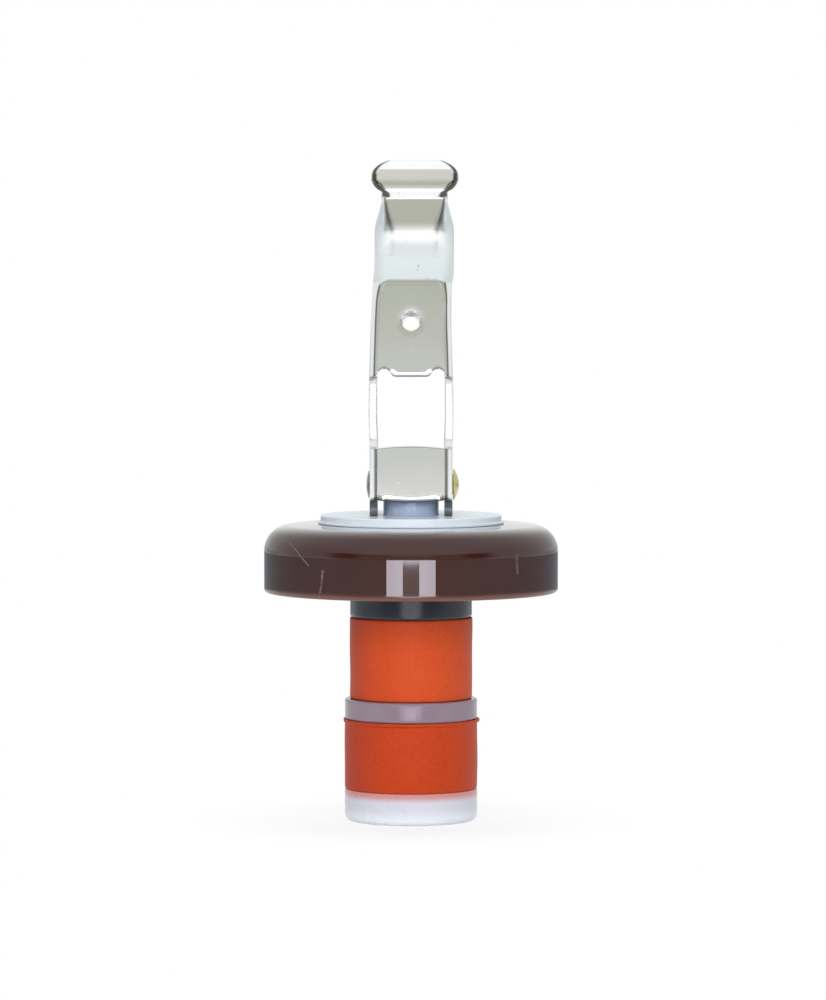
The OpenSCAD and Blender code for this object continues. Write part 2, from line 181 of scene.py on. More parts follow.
def make_piece(name, shell, body, node, slot, attributes=None):
    """A smooth-shaded piece in place of a CAD node, from a shell (points, faces) in millimetres.
    Its material has the slot's name, and each attribute holds a value per point."""
    points, faces = shell
    mesh = bpy.data.meshes.new(name)
    mesh.from_pydata((np.asarray(points) * MM).tolist(), [], faces)
    mesh.shade_smooth()
    for key, values in (attributes or {}).items():
        mesh.attributes.new(key, "FLOAT", "POINT").data.foreach_set("value", values.astype(np.float32))
    mesh.materials.append(MATERIALS[slot])
    mesh.update()
    piece = bpy.data.objects.new(name, mesh)
    bpy.context.scene.collection.objects.link(piece)
    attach(piece, body)
    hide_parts(node)
    return piece


# Materials

class Sock:
    """One output socket of a node. Arithmetic on it makes Math nodes in the same tree."""

    def __init__(self, tree, socket=None):
        self.tree = tree
        self.socket = socket

    def node(self, kind, settings, inputs, out=0):
        """A new node with its settings first and its inputs after them, and one of its outputs as a Sock."""
        made = self.tree.nodes.new(kind)
        for key, value in settings.items():
            setattr(made, key, value)
        for key, value in inputs.items():
            if isinstance(value, Sock):
                self.tree.links.new(value.socket, made.inputs[key])
            else:
                made.inputs[key].default_value = value
        return Sock(self.tree, made.outputs[out] if len(made.outputs) else None)

    def math(self, operation, a, b=0.0):
        """A Math node on one or two values."""
        return self.node("ShaderNodeMath", {"operation": operation}, {0: a, 1: b})

    def __add__(self, other):
        return self.math("ADD", self, other)

    def __radd__(self, other):
        return self.math("ADD", other, self)

    def __sub__(self, other):
        return self.math("SUBTRACT", self, other)

    def __rsub__(self, other):
        return self.math("SUBTRACT", other, self)

    def __mul__(self, other):
        return self.math("MULTIPLY", self, other)

    def __rmul__(self, other):
        return self.math("MULTIPLY", other, self)

    def __truediv__(self, other):
        return self.math("DIVIDE", self, other)

    def __rtruediv__(self, other):
        return self.math("DIVIDE", other, self)

    def step(self, low, high, at_low=0.0, at_high=1.0):
        """Smooth step from at_low to at_high as this value goes from low to high."""
        span = {"From Min": low, "From Max": high, "To Min": at_low, "To Max": at_high}
        return self.node("ShaderNodeMapRange", {"interpolation_type": "SMOOTHSTEP"}, {"Value": self, **span})

    def fall(self, low, high):
        """Smooth step from 1 down to 0 as this value goes from low to high."""
        return self.step(low, high, 1.0, 0.0)

    def most(self, other):
        """The greater of this value and another."""
        return self.math("MAXIMUM", self, other)

    def mix(self, a, b):
        """Colour a where this value is 0, and colour b where it is 1."""
        return self.node("ShaderNodeMix", {"data_type": "RGBA"}, {0: self, 6: a, 7: b}, out=2)

    def place(self):
        """Object coordinates, in metres."""
        return self.node("ShaderNodeTexCoord", {}, {}, out="Object")

    def noise(self, scale, detail=2.0):
        """Noise of the object coordinates, with about scale waves to the metre."""
        return self.node("ShaderNodeTexNoise", {}, {"Vector": self.place(), "Scale": scale, "Detail": detail})

    def axis(self, k):
        """Object coordinate k, in metres."""
        return self.node("ShaderNodeSeparateXYZ", {}, {0: self.place()}, out=k)

    def bump(self, height, strength, distance):
        """A normal that follows a height."""
        return self.node("ShaderNodeBump", {}, {"Height": height, "Strength": strength, "Distance": distance})


def fresh_tree(owner):
    """The emptied node tree of a material or a world, as a Sock to start from."""
    owner.use_nodes = True
    owner.node_tree.nodes.clear()
    return Sock(owner.node_tree)


def new_material(name, build):
    """A procedural material: build(t) gives the inputs of one Principled BSDF."""
    material = bpy.data.materials.new(name)
    t = fresh_tree(material)
    shader = t.node("ShaderNodeBsdfPrincipled", {}, build(t))
    t.node("ShaderNodeOutputMaterial", {}, {"Surface": shader})
    return material


def rgb(r, g, b):
    """An opaque colour."""
    return (r, g, b, 1.0)


def scratch(t, start, end, width):
    """1 on a straight scratch between two places (x, z) on the front of a piece, in millimetres, and 0 off
    it. With the way d from start to end and the place p from start, the distance off the line is
    |p x d| / |d| and the share along it is p . d / |d|^2."""
    dx, dz = (end[0] - start[0]) * MM, (end[1] - start[1]) * MM
    length = math.hypot(dx, dz)
    x, z = t.axis(0) - start[0] * MM, t.axis(2) - start[1] * MM
    off = t.math("ABSOLUTE", x * dz - z * dx) / length
    along = (x * dx + z * dz) / length ** 2
    on = off.fall(0.4 * width * MM, width * MM) * along.step(0, 0.08) * along.fall(0.92, 1)
    front = t.axis(1).fall(-4 * MM, 0.0)
    return on * front * t.noise(2600, 2).step(0.36, 0.5)


def brown_plastic(t):
    """Glossy maroon-brown with a painted highlight along the lower edge and painted shade round the shoulder,
    glossiest on top, with scratches on the front."""
    z = t.axis(2) / MM
    low = z.fall(DISC_LOW[2], DISC_LOW[2] + 1.1)
    cloud = t.noise(120, 3)
    base = cloud.mix(rgb(0.043, 0.0170, 0.0130), rgb(0.050, 0.0210, 0.0165))
    marks = sum(strength * scratch(t, start, end, width) for start, end, width, strength in SCRATCHES)
    # Painted highlight: the lower edge is painted a paler orange-brown.
    base = low.mix(base, rgb(0.15, 0.058, 0.040))
    under_top = float(DISC_HIGH[2]) - z
    shoulder = under_top.step(0.2, 1.4) * under_top.fall(3.4, 4.0)
    # Painted shade: a darker band is painted round the shoulder.
    base = shoulder.mix(base, rgb(0.034, 0.005, 0.003))
    return {"Base Color": (0.55 * marks).mix(base, rgb(0.24, 0.19, 0.17)), "IOR": 1.56,
            "Coat Weight": under_top.fall(0.2, 1.3), "Coat Roughness": 0.03,
            "Roughness": 0.018 + 0.012 * cloud + 0.30 * marks + 0.3 * low,
            "Normal": t.bump(t.noise(55, 1), 0.008, 0.001)}


def slate_plastic(t):
    """Dark slate, less glossy than the disc."""
    cloud = t.noise(200, 3)
    return {"Base Color": cloud.mix(rgb(0.018, 0.027, 0.038), rgb(0.028, 0.040, 0.053)), "IOR": 1.44,
            "Roughness": 0.18 + 0.08 * cloud}


def orange_rubber(t):
    """Soft orange rubber with a fine grain, deeper in colour below the ring, with painted shade along the
    left side.
    """
    cloud = t.noise(170, 4)
    grain = t.noise(2600, 3)
    base = cloud.mix(rgb(0.50, 0.048, 0.008), rgb(0.58, 0.074, 0.014))
    lower = t.axis(2).fall(RING_LOW[2] * MM, RING_HIGH[2] * MM)
    base = (0.8 * lower).mix(base, rgb(0.43, 0.034, 0.002))
    base = (0.16 * grain.step(0.42, 0.66)).mix(base, rgb(0.56, 0.085, 0.014))
    base = (0.12 * grain.fall(0.36, 0.50)).mix(base, rgb(0.33, 0.022, 0.002))
    # Painted shade: the left side of the rubber is painted darker.
    side = t.axis(0).fall(-8.5 * MM, -4.5 * MM)
    base = (0.5 * side).mix(base, rgb(0.36, 0.026, 0.002))
    return {"Base Color": base, "Roughness": 0.44 + 0.16 * grain, "IOR": 1.36,
            "Normal": t.bump(grain + 0.6 * cloud, 0.22, 0.00012)}


def lavender_plastic(t):
    """Cloudy lavender-grey that lets a little light in."""
    cloud = t.noise(230, 3)
    return {"Base Color": cloud.mix(rgb(0.225, 0.165, 0.21), rgb(0.265, 0.20, 0.25)), "IOR": 1.5,
            "Roughness": 0.085 + 0.06 * cloud, "Subsurface Weight": 0.25, "Subsurface Scale": 0.001,
            "Subsurface Radius": (1.0, 0.9, 1.0)}


def white_plastic(t):
    """Milky white, with a painted warm reflection of the rubber at its top and painted light that is
    brightest at the foot.
    """
    cloud = t.noise(160, 3)
    z = t.axis(2) / MM
    # Painted reflection: the top under the rubber is painted a warm orange-pink.
    warm = z.step(BASE_HIGH[2] - 1.4, BASE_HIGH[2] - 0.3)
    # Painted light: the foot is painted paler and bluer, brightest at the bottom.
    low = z.fall(BASE_LOW[2], BASE_LOW[2] + 2.6)
    base = cloud.mix(rgb(0.59, 0.60, 0.68), rgb(0.62, 0.63, 0.71))
    base = low.mix(base, rgb(0.80, 0.84, 0.90))
    return {"Base Color": (0.9 * warm).mix(base, rgb(0.58, 0.21, 0.19)), "IOR": 1.48,
            "Roughness": 0.22 + 0.12 * cloud, "Subsurface Weight": 0.2, "Subsurface Scale": 0.0012,
            "Subsurface Radius": (1.0, 0.9, 0.9)}


def screw_steel(t):
    """Dull zinc-plated steel."""
    cloud = t.noise(700, 4)
    return {"Base Color": cloud.mix(rgb(0.50, 0.50, 0.50), rgb(0.66, 0.66, 0.68)), "Metallic": 1.0,
            "Roughness": 0.26 + 0.2 * cloud}


def grey_plastic(t):
    """Polished blue-grey."""
    cloud = t.noise(260, 3)
    return {"Base Color": cloud.mix(rgb(0.31, 0.38, 0.51), rgb(0.37, 0.44, 0.57)), "IOR": 1.5,
            "Roughness": 0.14 + 0.08 * cloud}


def pale_plastic(t):
    """Pale blue-grey that lets a little light in."""
    cloud = t.noise(180, 3)
    return {"Base Color": cloud.mix(rgb(0.64, 0.72, 0.79), rgb(0.70, 0.77, 0.83)), "IOR": 1.5,
            "Roughness": 0.18 + 0.12 * cloud, "Subsurface Weight": 0.2, "Subsurface Scale": 0.0008,
            "Subsurface Radius": (0.9, 1.0, 1.0)}


def rivet_brass(t):
    """Plain brass, a darker grey on the peened tail."""
    cloud = t.noise(900, 4)
    brass = cloud.mix(rgb(0.50, 0.45, 0.14), rgb(0.66, 0.61, 0.26))
    tail = t.axis(0).fall(-2 * MM, 0.0)
    return {"Base Color": tail.mix(brass, rgb(0.26, 0.25, 0.21)), "Metallic": 1.0,
            "Roughness": 0.14 + 0.16 * cloud}


def lever_chrome(t):
    """Chrome plate with a few specks, satin on the slope and the neck. The lever's attributes say where it is
    hazy, dull along a cut edge, or darkened by lines of painted shade and painted dark reflection; the cut
    edges at the foot carry painted shade."""
    cut, dark, haze = (t.node("ShaderNodeAttribute", {"attribute_name": name}, {}, out="Fac")
                       for name in ("cut_edge", "painted_dark", "haze"))
    cloud = t.noise(150, 3)
    specks = t.noise(1500, 2).step(0.67, 0.73) * t.noise(330, 1).step(0.52, 0.62)
    level = t.axis(2) / MM - PIVOT_Z
    satin = level.step(SATIN_LOW - 1.4, SATIN_LOW + 1.4) * level.fall(SATIN_HIGH - 1.15, SATIN_HIGH + 1.15)
    neck = level.step(SATIN_HIGH - 0.85, SATIN_HIGH + 0.35)
    grain = t.noise(5200, 2)
    # Painted shade: the cut edges at the foot are painted dark grey.
    foot = level.fall(WEB_BOTTOM - 0.1, WEB_BOTTOM + 0.3)
    edge = foot.mix(rgb(0.80, 0.80, 0.78), rgb(0.16, 0.18, 0.19))
    plate = cloud.mix(rgb(0.90, 0.91, 0.905), rgb(0.95, 0.96, 0.955))
    plate = haze.mix(plate, rgb(0.715, 0.77, 0.78))
    plate = (0.7 * specks).mix(plate, rgb(0.42, 0.36, 0.24))
    # Painted shade and painted dark reflection: the painted_dark lines darken the plate.
    plate = (0.94 * dark).mix(cut.mix(plate, edge), rgb(0.06, 0.055, 0.05))
    return {"Base Color": plate, "Metallic": 1.0 - 0.45 * satin,
            "Roughness": 0.045 + 0.02 * cloud + 0.22 * specks + 0.24 * cut + 0.24 * satin + 0.2 * haze * neck,
            "Normal": t.bump(t.noise(90, 1) + 0.12 * satin * grain, 0.02, 0.0005)}


MATERIALS = {build.__name__: new_material(build.__name__, build) for build in (
    brown_plastic, slate_plastic, orange_rubber, lavender_plastic, white_plastic,
    screw_steel, grey_plastic, pale_plastic, rivet_brass, lever_chrome)}


# Round pieces

def wobble(points, amount, seed):
    """Moulded unevenness: each point moves along its radius by amount times a sum of slow waves
    sin(k a + p) cos(q z + p) over the angle a and the height z."""
    x, y, z = points.T
    a = np.arctan2(y, x)
    wave = (np.sin(2 * a + seed) * np.cos(0.45 * z + seed)
            + 0.6 * np.sin(3 * a - 2 * seed) * np.cos(0.8 * z)
            + 0.4 * np.sin(5 * a + 3 * seed) * np.cos(0.3 * z - seed))
    grow = 1 + amount * wave / np.maximum(np.hypot(x, y), 1)
    return np.stack([x * grow, y * grow, z], -1)


def disc_shell():
    """The disc's outline turned about Z: hub, flat roof, skirt, rounded shoulder, a top that falls a little
    outside the washer, and the bore for the stem and the collar's spigot."""
    z0, z1, r = DISC_LOW[2], DISC_HIGH[2], DISC_HIGH[0]
    shoulder, fall = 3.5, 0.4
    skirt, roof = r - SKIRT_WALL, z1 - ROOF_WALL
    spigot_bore, spigot_top = SPIGOT_R + SEAT_GAP, COLLAR_HIGH[2]
    return lathe(rounded([
        (spigot_bore, z0, 0.15), (HUB_R, z0, 0.2), (HUB_R, roof, 0.4), (skirt, roof, shoulder - SKIRT_WALL),
        (skirt, z0, 0.2), (r, z0, 0.55), (r, z1 - fall, shoulder), (WASHER_HIGH[0] + 0.8, z1, 4.0),
        (STEM_BORE_R, z1, 0.15), (STEM_BORE_R, spigot_top, 0.1), (spigot_bore, spigot_top, 0.1)]), n=288)


def disc_ribs(count=12):
    """Ribs from the hub to the skirt: a block with rounded lower edges, drawn along the radius, whose ends
    and top sink into the disc, turned about Z by 2 pi k / count."""
    sink, half = 0.2, 0.65
    low, high = DISC_LOW[2] + 0.6, DISC_HIGH[2] - ROOF_WALL + sink
    line = rounded([(-half, low, 0.2), (half, low, 0.2), (half, high, 0), (-half, high, 0)], step=3)
    m = len(line)
    ends = HUB_R - sink, DISC_HIGH[0] - SKIRT_WALL + sink
    block = np.concatenate([np.column_stack([np.full(m, d), line]) for d in ends])
    sides = grid_faces(2, m, False, True)[:, ::-1].tolist()
    faces = sides + [list(range(m))[::-1], list(range(m, 2 * m))]
    angles = 2 * np.pi * np.arange(count) / count
    turns = [np.array([[math.cos(a), math.sin(a), 0], [-math.sin(a), math.cos(a), 0], [0, 0, 1]])
             for a in angles]
    return [(block @ turn, faces) for turn in turns]


def collar_shell():
    """The collar's outline turned about Z: a short wide ring with a shelf, and the spigot over it."""
    z0, r, shelf, z1 = COLLAR_LOW[2], COLLAR_HIGH[0], DISC_LOW[2], COLLAR_HIGH[2]
    return lathe(rounded([(STEM_BORE_R, z0, 0.1), (r, z0, 0.3), (r, shelf, 0.12), (SPIGOT_R, shelf, 0.05),
                          (SPIGOT_R, z1, 0.3), (STEM_BORE_R, z1, 0.15)]), n=256)


def sleeve_shell(low, high, r, seed, lip=0.0):
    """A rubber sleeve with rounded ends, slightly uneven. A lip is a thin flash round its top, which stands
    out by lip (0.8 + 0.2 sin(3 a + 1) + 0.12 sin(11 a) + 0.08 sin(23 a + 2)) at the angle a."""
    corners = [(SLEEVE_BORE_R, low, 0.25), (r, low, 0.3), (r, high, 0.3), (SLEEVE_BORE_R, high, 0.25)]
    if lip:
        corners[2:3] = [(r, high - 0.55, 0.15), (r + lip, high - 0.38, 0.06), (r + lip, high, 0.12)]
    points, faces = lathe(rounded(corners, step=0.35), n=256)
    if lip:
        x, y, z = points.T
        a, d = np.arctan2(y, x), np.hypot(x, y)
        out = np.clip((d - r) / lip, 0, 1)
        share = 0.2 - 0.2 * np.sin(3 * a + 1) - 0.12 * np.sin(11 * a) - 0.08 * np.sin(23 * a + 2)
        pull = out * lip * share
        points = np.stack([x * (1 - pull / d), y * (1 - pull / d), z], -1)
    return wobble(points, 0.035, seed), faces


def stem_shell(n=160):
    """Round shank with a rounded head: at the height h over the rivet's axis the outline circle of radius R
    is cut at y = +-sqrt(R^2 - h^2). The screw hole runs up from the foot."""
    foot, hole_top, chamfer, hole_r = STEM_LOW[2], STEM_LOW[2] + 9.0, 0.15, SCREW_HOLE_R
    rise = np.radians(np.linspace(0, 88.5, 24))
    shank = np.linspace(foot + 2 * chamfer, PIVOT_Z, 31)[:-1]
    r = np.concatenate([[AXIS_R, hole_r, hole_r, STEM_R - chamfer, STEM_R],
                        np.full(len(shank) + len(rise), STEM_R)])
    z = np.concatenate([[hole_top, hole_top, foot, foot, foot + chamfer], shank,
                        PIVOT_Z + STEM_R * np.sin(rise)])
    points, faces = lathe(np.stack([r, z], -1), n, closed=False)
    limit = np.sqrt(np.clip(STEM_R ** 2 - np.clip(points[:, 2] - PIVOT_Z, 0, None) ** 2, 1e-6, None))
    points[:, 1] = np.clip(points[:, 1], -limit, limit)
    return points, faces


def boss_shell(side):
    """A thrust boss: a short round pad on the side of the stem's head, turned about the rivet's axis."""
    r, start, end = 1.9, 1.0, STEM_HIGH[0]
    line = np.array([(AXIS_R, start), (r, start), (r, end - 0.15), (r - 0.06, end - 0.04), (r - 0.15, end),
                     (AXIS_R, end)])
    return across(*lathe(line, 64, closed=False), side)


def across(points, faces, side=1):
    """A turned piece laid along X at the rivet's height: (x, y, z) goes to (z, x, y), mirrored for side -1,
    where its faces are turned round too."""
    points = points[:, [2, 0, 1]] * [side, 1, 1] + [0, 0, PIVOT_Z]
    return points, faces if side > 0 else [f[::-1] for f in faces]


def dome(r, h, base, n=14):
    """Outline of a low ball cap of radius r and height h over base, from its rim to near the axis. Its ball
    has the radius (r^2 + h^2) / (2 h)."""
    ball = (r * r + h * h) / (2 * h)
    d = r * np.cos(np.linspace(0, np.pi / 2, n))
    return np.stack([np.maximum(d, AXIS_R), base + h - ball + np.sqrt(ball ** 2 - d ** 2)], -1)


def rivet_shell():
    """Rivet along X: peened tail on the left, shank, and domed set head on the right."""
    seat, shank_r = EAR_HALF_W + EAR_GAP, 1.4
    tail_r, tail_rim, head_r, head_rim = 1.85, 0.08, 2.15, 0.12
    tail = dome(tail_r, -RIVET_LOW[0] - seat - tail_rim, tail_rim) * [1, -1] - [0, seat]
    head = dome(head_r, RIVET_HIGH[0] - seat - head_rim, head_rim) + [0, seat]
    shank = [[tail_r, -seat + 0.03], [tail_r - 0.05, -seat], [shank_r, -seat],
             [shank_r, seat], [head_r - 0.05, seat], [head_r, seat + 0.05]]
    line = np.concatenate([tail[::-1], shank, head])
    return across(*lathe(line, 96, closed=False))


def base_shell():
    """The base plug's outline turned about Z: a pocket for the screw's head below, a socket for the stem
    above and the screw's hole between them."""
    z0, z1, r = BASE_LOW[2], BASE_HIGH[2], BASE_HIGH[0]
    pocket_r, pocket_top, socket_r, socket_floor = 3.1, z0 + 1.4, STEM_R + SEAT_GAP, STEM_LOW[2]
    return lathe(rounded([
        (pocket_r, z0, 0.2), (r, z0, 1.0), (r, z1, 0.2), (socket_r, z1, 0.1), (socket_r, socket_floor, 0.05),
        (SCREW_HOLE_R, socket_floor, 0.05), (SCREW_HOLE_R, pocket_top, 0.05), (pocket_r, pocket_top, 0.05)]),
        n=256)


def ring_shell():
    """The spacer ring's outline turned about Z: a rectangle with round corners."""
    z0, z1, r = RING_LOW[2], RING_HIGH[2], RING_HIGH[0]
    return lathe(rounded([(SLEEVE_BORE_R, z0, 0.1), (r, z0, 0.3), (r, z1, 0.3), (SLEEVE_BORE_R, z1, 0.1)]),
                 n=256)


def washer_shell():
    """The washer's outline turned about Z: a flat ring with a step round its upper edge."""
    z0, z1, r, step = WASHER_LOW[2], WASHER_HIGH[2], WASHER_HIGH[0], 0.35
    return lathe(rounded([
        (STEM_BORE_R, z0, 0.05), (r, z0, 0.1), (r, z0 + step, 0.12), (r - step, z0 + step, 0.08),
        (r - step, z1, 0.16), (STEM_BORE_R, z1, 0.12)]), n=288)


# The lever: one sheet, folded into a channel

# Radii and lengths along the front face, from the upright web to the rolled top of the thumb pad
BEND_R, SLOPE_L, HOLLOW_R, NECK_L, CREASE_R = 5.0, 3.2, 2.2, 4.05, 0.6
PAD_R, PAD_FRONT_R, PAD_HALF_W = SHEET_T + 0.3, 20.2, 5.95

# Runs of the side line: turn, and length along the front face
TURNS = np.radians([0, 50, 0, -50, 0, -40, 37.5, 8, 137])
LENGTHS = np.abs(TURNS) * [0, BEND_R, 0, HOLLOW_R, 0, CREASE_R, PAD_R, PAD_FRONT_R, PAD_R]
LENGTHS[[0, 2, 4]] = CAM_LOW + BEND_START, SLOPE_L, NECK_L
ENDS = np.cumsum(LENGTHS)
BEND_S, SLOPE_S, HOLLOW_S, NECK_S, CREASE_S, NOSE_S, FRONT_S, TOP_S, TIP_S = ENDS
CAM_END_S = CAM_LOW + CAM_RATE
LAND_S = CAM_END_S + 1.8


def advance(y, z, lean, length, turn):
    """Point and lean after a run: a straight run goes along (sin lean, cos lean), and a bend of radius
    length / turn adds radius * (cos lean - cos(lean + turn), sin(lean + turn) - sin lean)."""
    bent = np.abs(turn) >= 1e-9
    radius = length / np.where(bent, turn, 1)
    return (y + np.where(bent, radius * (np.cos(lean) - np.cos(lean + turn)), length * np.sin(lean)),
            z + np.where(bent, radius * (np.sin(lean + turn) - np.sin(lean)), length * np.cos(lean)),
            lean + turn)


STARTS = [(-WEB_FRONT, -CAM_LOW, 0.0)]
for run_length, run_turn in zip(LENGTHS, TURNS):
    STARTS.append(advance(*STARTS[-1], run_length, run_turn))
STARTS = np.array(STARTS, float)


def side_line(s):
    """Front face of the lever at the length s along it: y and z from the rivet's axis, and lean."""
    k = np.clip(np.searchsorted(ENDS, s), 0, len(LENGTHS) - 1)
    part = s - (ENDS[k] - LENGTHS[k])
    return advance(STARTS[k, 0], STARTS[k, 1], STARTS[k, 2], part, TURNS[k] * part / LENGTHS[k])


_, PAD_LOW, _ = side_line(NOSE_S)
_, top_z, top_lean = side_line(TOP_S)
PAD_HIGH = top_z + PAD_R * (1 - math.sin(top_lean)) + 0.3


def keyed(s, keys):
    """Value at s between keys (place, value), eased by t^2 (3 - 2 t) from each key to the next."""
    at, value = np.array(keys, float).T
    k = np.clip(np.searchsorted(at, s) - 1, 0, len(at) - 2)
    t = np.clip((s - at[k]) / (at[k + 1] - at[k]), 0, 1)
    return value[k] + (value[k + 1] - value[k]) * t * t * (3 - 2 * t)


def half_width(s):
    """Half the width across the folds. The thumb pad's outline is an oval from its nose to its rolled top: at
    the share h from -1 to 1 of its height it is PAD_HALF_W (1 - |h|^2.5)^0.4 wide, joined to the body by the
    smooth maximum (body^8 + oval^8)^(1/8)."""
    w = EAR_HALF_W
    body = keyed(s, [(CAM_LOW + WINDOW_BOTTOM, w), (CAM_LOW + WINDOW_MIDDLE, w + 0.12), (BEND_S, w - 0.25),
                     (NECK_S - 0.4, w - 0.2), (CREASE_S, 4.55), (TIP_S, 3.5)])
    h = (2 * side_line(s)[1] - PAD_LOW - PAD_HIGH) / (PAD_HIGH - PAD_LOW)
    oval = PAD_HALF_W * np.clip(1 - np.abs(h) ** 2.5, 0, 1) ** 0.4 * (s > CREASE_S)
    return (body ** 8 + oval ** 8) ** (1 / 8)


def corner_radius(s):
    """Outer radius of the folds: tight on the web, wide on the slope and the neck, tight round the pad."""
    return keyed(s, [(BEND_S - 2.6, FOLD_R), (SLOPE_S, 2.9), (NECK_S - 0.4, 2.7), (CREASE_S, 0.75),
                     (FRONT_S, 1.0), (TOP_S - 0.2, 1.0), (TOP_S + 0.8, 0.45)])


def drift(s):
    """How far the slope and the pad sit to the right of the axis, as the bend isn't quite square."""
    return keyed(s, [(BEND_S - 6, 0.0), (HOLLOW_S, 0.45), (TIP_S, 0.55)])


# The cam's outline: the place and the depth of the foot's touching point as the lever turns
CAM_ANGLE = np.linspace(0, np.pi / 2, 46)
CAM_REACH = CAM_LOW + CAM_RATE * CAM_ANGLE
CAM_S = CAM_LOW + CAM_RATE * np.sin(CAM_ANGLE) - CAM_REACH * np.cos(CAM_ANGLE)
CAM_DEPTH = WEB_FRONT + CAM_REACH * np.sin(CAM_ANGLE) + CAM_RATE * np.cos(CAM_ANGLE)


def flange_depth(s):
    """Depth of the flanges behind the front face. Below the land it is the cam: the foot's distance from the
    rivet grows by CAM_RATE for each radian that the lever turns."""
    upper = keyed(s, [(LAND_S, WEB_FRONT + CAM_LOW + STROKE), (CAM_LOW + WINDOW_TOP, 6.4), (BEND_S, 3.6),
                      (HOLLOW_S, 3.27), (NECK_S, 3.27), (CREASE_S, 1.25)])
    return np.where(s < CAM_END_S, np.interp(s, CAM_S, CAM_DEPTH), upper)


def folded(u, s, inset):
    """Point of the folded sheet for the flat place (u across, s along), inset from its outer face.
    |u| runs along the web, round the fold of outer radius c, and back along the flange. Where the fold is
    tighter than the sheet is thick, the sheet is pressed thinner. Round the hole the front is pressed in by
    0.012 exp(-((rho - HOLE_R) / HOLE_RIM)^2) at rho from the hole's centre, and the back is pushed down."""
    w, c = half_width(s), corner_radius(s)
    inset = inset * np.minimum(1, (c - 0.05) / SHEET_T)
    d, flat = np.abs(u), w - c
    turn = np.clip((d - flat) / c, 0, np.pi / 2)
    past = np.maximum(d - flat - c * np.pi / 2, 0)
    x = np.minimum(d, flat) + (c - inset) * np.sin(turn)
    back = c - (c - inset) * np.cos(turn) + past
    rho = np.hypot(u, s - CAM_LOW - HOLE_LEVEL)
    back = back + 0.012 * np.exp(-((rho - HOLE_R) / HOLE_RIM) ** 2) * (rho < 4)
    pushed = inset / SHEET_T * np.exp(-((rho - HOLE_R) / 0.9) ** 2) * (rho < 5)
    s, x = s - 0.7 * pushed, x * (1 - 0.1 * pushed)
    y, z, lean = side_line(s)
    return np.stack([np.sign(u) * x + drift(s), y + back * np.cos(lean),
                     PIVOT_Z + z - back * np.sin(lean)], -1)


def box_room(u, v, half, low, high, r):
    """Distance outside a box |u| < half, low < v < high with corners of radius r."""
    a = np.abs(u) - half + r
    b = np.abs(v - (low + high) / 2) - (high - low) / 2 + r
    return np.hypot(np.maximum(a, 0), np.maximum(b, 0)) + np.minimum(np.maximum(a, b), 0) - r


def cut_sides(s):
    """Half the flat web's width, and how far the window and the foot reach out over the folds."""
    flat = half_width(s) - corner_radius(s)
    return flat, flat + corner_radius(s) * (np.pi / 2 - 1) + SETBACK


def window_room(u, s):
    """Distance on the flat blank from the window and its two relief notches. The lower edge bows outward by
    BOW (1 - (u / flat)^2). The notches join the window by the smooth minimum
    b + (a - b) h - BLEND h (1 - h) with h = 1/2 + (b - a) / (2 BLEND) held between 0 and 1."""
    v, (flat, side) = s - CAM_LOW, cut_sides(s)
    bow = BOW * np.clip(1 - (u / flat) ** 2, 0, 1) * (v < WINDOW_MIDDLE)
    a = box_room(u, v - bow, side, WINDOW_BOTTOM, WINDOW_TOP, CUT_CORNER_R)
    b = box_room(np.abs(u) - NOTCH_X, v, NOTCH_W / 2, WINDOW_TOP - 1.5, WINDOW_TOP + NOTCH_H,
                 NOTCH_W / 2 - 0.01)
    h = np.clip(0.5 + (b - a) / (2 * BLEND), 0, 1)
    return b + (a - b) * h - BLEND * h * (1 - h)


def foot_room(u, s):
    """Distance on the flat blank from the foot of the web, whose edge bows outward as the window's does."""
    v, (flat, side) = s - CAM_LOW, cut_sides(s)
    bow = BOW * np.clip(1 - (u / flat) ** 2, 0, 1)
    return box_room(u, v + bow, side, -CAM_LOW - 5, WEB_BOTTOM, CUT_CORNER_R)


def cut_room(u, s):
    """Distance on the flat blank from the nearest cut: positive in the sheet, negative in a hole."""
    v = s - CAM_LOW
    bent = half_width(s) + corner_radius(s) * (np.pi / 2 - 2)
    hang_hole = np.hypot(u, v - HOLE_LEVEL) - HOLE_R
    rivet_hole = np.hypot(np.abs(u) - bent - WEB_FRONT, v) - RIVET_HOLE_R
    return np.minimum.reduce([window_room(u, s), foot_room(u, s), hang_hole, rivet_hole])


def rolled(u, s):
    """How far the front face rolls in along the window's tab and the middle of the foot: 0.75 of a quarter
    round of radius R = ROLL_R, R - sqrt(R^2 - (R - room)^2), which fades out towards the notches, the foot's
    ends and the window's lower edge."""
    near = np.clip(ROLL_R - np.stack([window_room(u, s), foot_room(u, s)]), 0, ROLL_R)
    roll = 0.75 * (ROLL_R - np.sqrt(ROLL_R ** 2 - near ** 2))
    tab = keyed(s, [(CAM_LOW + WINDOW_BOTTOM, 0.0), (CAM_LOW + WINDOW_TOP, 1.0)])
    tab = tab * keyed(np.abs(u), [(NOTCH_X - 1.5, 1.0), (NOTCH_X - 0.8, 0.0)])
    return np.maximum(roll[0] * tab, roll[1] * keyed(np.abs(u), [(3.2, 1.0), (3.9, 0.0)]))


